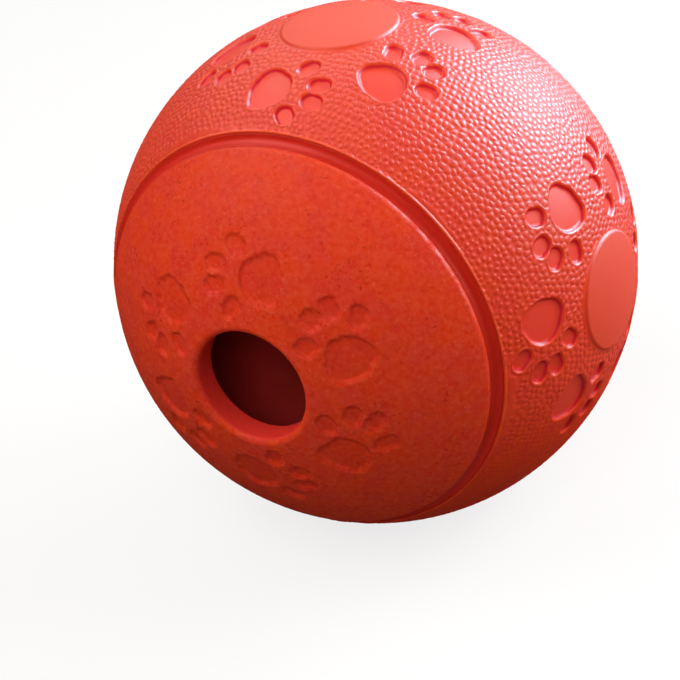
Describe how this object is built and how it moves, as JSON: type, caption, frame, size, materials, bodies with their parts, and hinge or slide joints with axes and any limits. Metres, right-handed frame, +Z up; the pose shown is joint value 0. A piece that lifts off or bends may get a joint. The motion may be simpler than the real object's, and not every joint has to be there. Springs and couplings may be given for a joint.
{
  "type": "treat dispensing ball",
  "caption": "Hollow rubber pet ball with a round treat hole, a pebbled band with paw prints and plain medallions, and a labyrinth of plates and crossed walls inside.",
  "frame": {"origin": "centre of the ball, on the axis of the treat hole", "axes": "-Y out of the treat hole; +Z up, through one medallion, with the opposite medallion resting on the floor; +X through the medallion beside them"},
  "size_m": [0.1108, 0.1088, 0.1108],
  "materials": {
    "band_rubber": "glossy moulded natural rubber with a pebbled skin",
    "cap_rubber": "matt moulded natural rubber with a fine grain",
    "joint_cement": "smooth cured rubber cement",
    "labyrinth_rubber": "smooth moulded natural rubber"
  },
  "bodies": {
    "root": {"band": "band_rubber", "front_cap": "cap_rubber", "rear_cap": "cap_rubber", "front_joint_ring": "joint_cement", "rear_joint_ring": "joint_cement", "front_labyrinth_plate": "labyrinth_rubber", "rear_labyrinth_plate": "labyrinth_rubber", "long_divider": "labyrinth_rubber", "cross_divider": "labyrinth_rubber"}
  },
  "joints": []
}
